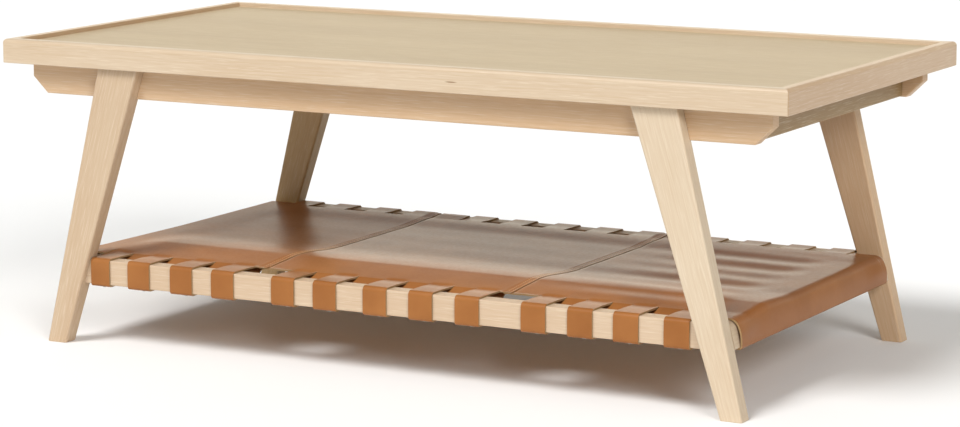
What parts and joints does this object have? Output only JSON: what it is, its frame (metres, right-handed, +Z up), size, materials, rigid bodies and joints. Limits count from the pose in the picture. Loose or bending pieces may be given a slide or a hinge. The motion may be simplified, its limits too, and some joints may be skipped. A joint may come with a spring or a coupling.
{
  "type": "coffee_table",
  "caption": "Low rectangular coffee table of pale limed oak with a tray top, splayed tapered legs and a stretched tan leather shelf held by strap tabs.",
  "frame": {"origin": "on the floor, below the middle of the top", "axes": "+X along the length to the right, +Y from the front to the back, +Z up"},
  "size_m": [1.2, 0.61, 0.432],
  "materials": {
    "limed_oak": "satin",
    "panel_oak": "satin",
    "saddle_leather": "satin",
    "zinc_steel": "satin"
  },
  "bodies": {
    "root": {"top_panel": "panel_oak", "top_edge_front": "limed_oak", "apron_front": "limed_oak", "shelf_rail_front": "limed_oak", "top_edge_back": "limed_oak", "apron_back": "limed_oak", "shelf_rail_back": "limed_oak", "top_edge_left": "limed_oak", "upper_end_rail_left": "limed_oak", "shelf_end_rail_left": "limed_oak", "top_edge_right": "limed_oak", "upper_end_rail_right": "limed_oak", "shelf_end_rail_right": "limed_oak", "leg_front_left": "limed_oak", "leg_front_right": "limed_oak", "leg_back_left": "limed_oak", "leg_back_right": "limed_oak", "leather_panel_left": "saddle_leather", "leather_panel_centre": "saddle_leather", "leather_panel_right": "saddle_leather", "leg_bolt_front_left_lower": "zinc_steel", "leg_bolt_front_left_upper": "zinc_steel", "leg_bolt_front_right_lower": "zinc_steel", "leg_bolt_front_right_upper": "zinc_steel", "leg_bolt_back_left_lower": "zinc_steel", "leg_bolt_back_left_upper": "zinc_steel", "leg_bolt_back_right_lower": "zinc_steel", "leg_bolt_back_right_upper": "zinc_steel", "top_screw_front_left": "zinc_steel", "top_screw_front_right": "zinc_steel", "top_screw_back_left": "zinc_steel", "top_screw_back_right": "zinc_steel", "top_screw_end_left": "zinc_steel", "top_screw_end_right": "zinc_steel", "rail_screw_front_left": "zinc_steel", "rail_screw_front_right": "zinc_steel", "rail_screw_back_left": "zinc_steel", "rail_screw_back_right": "zinc_steel", "rail_screw_end_left": "zinc_steel", "rail_screw_end_right": "zinc_steel", "top_bracket_front_left": "zinc_steel", "top_bracket_front_right": "zinc_steel", "top_bracket_back_left": "zinc_steel", "top_bracket_back_right": "zinc_steel", "top_bracket_end_left": "zinc_steel", "top_bracket_end_right": "zinc_steel"}
  },
  "joints": []
}
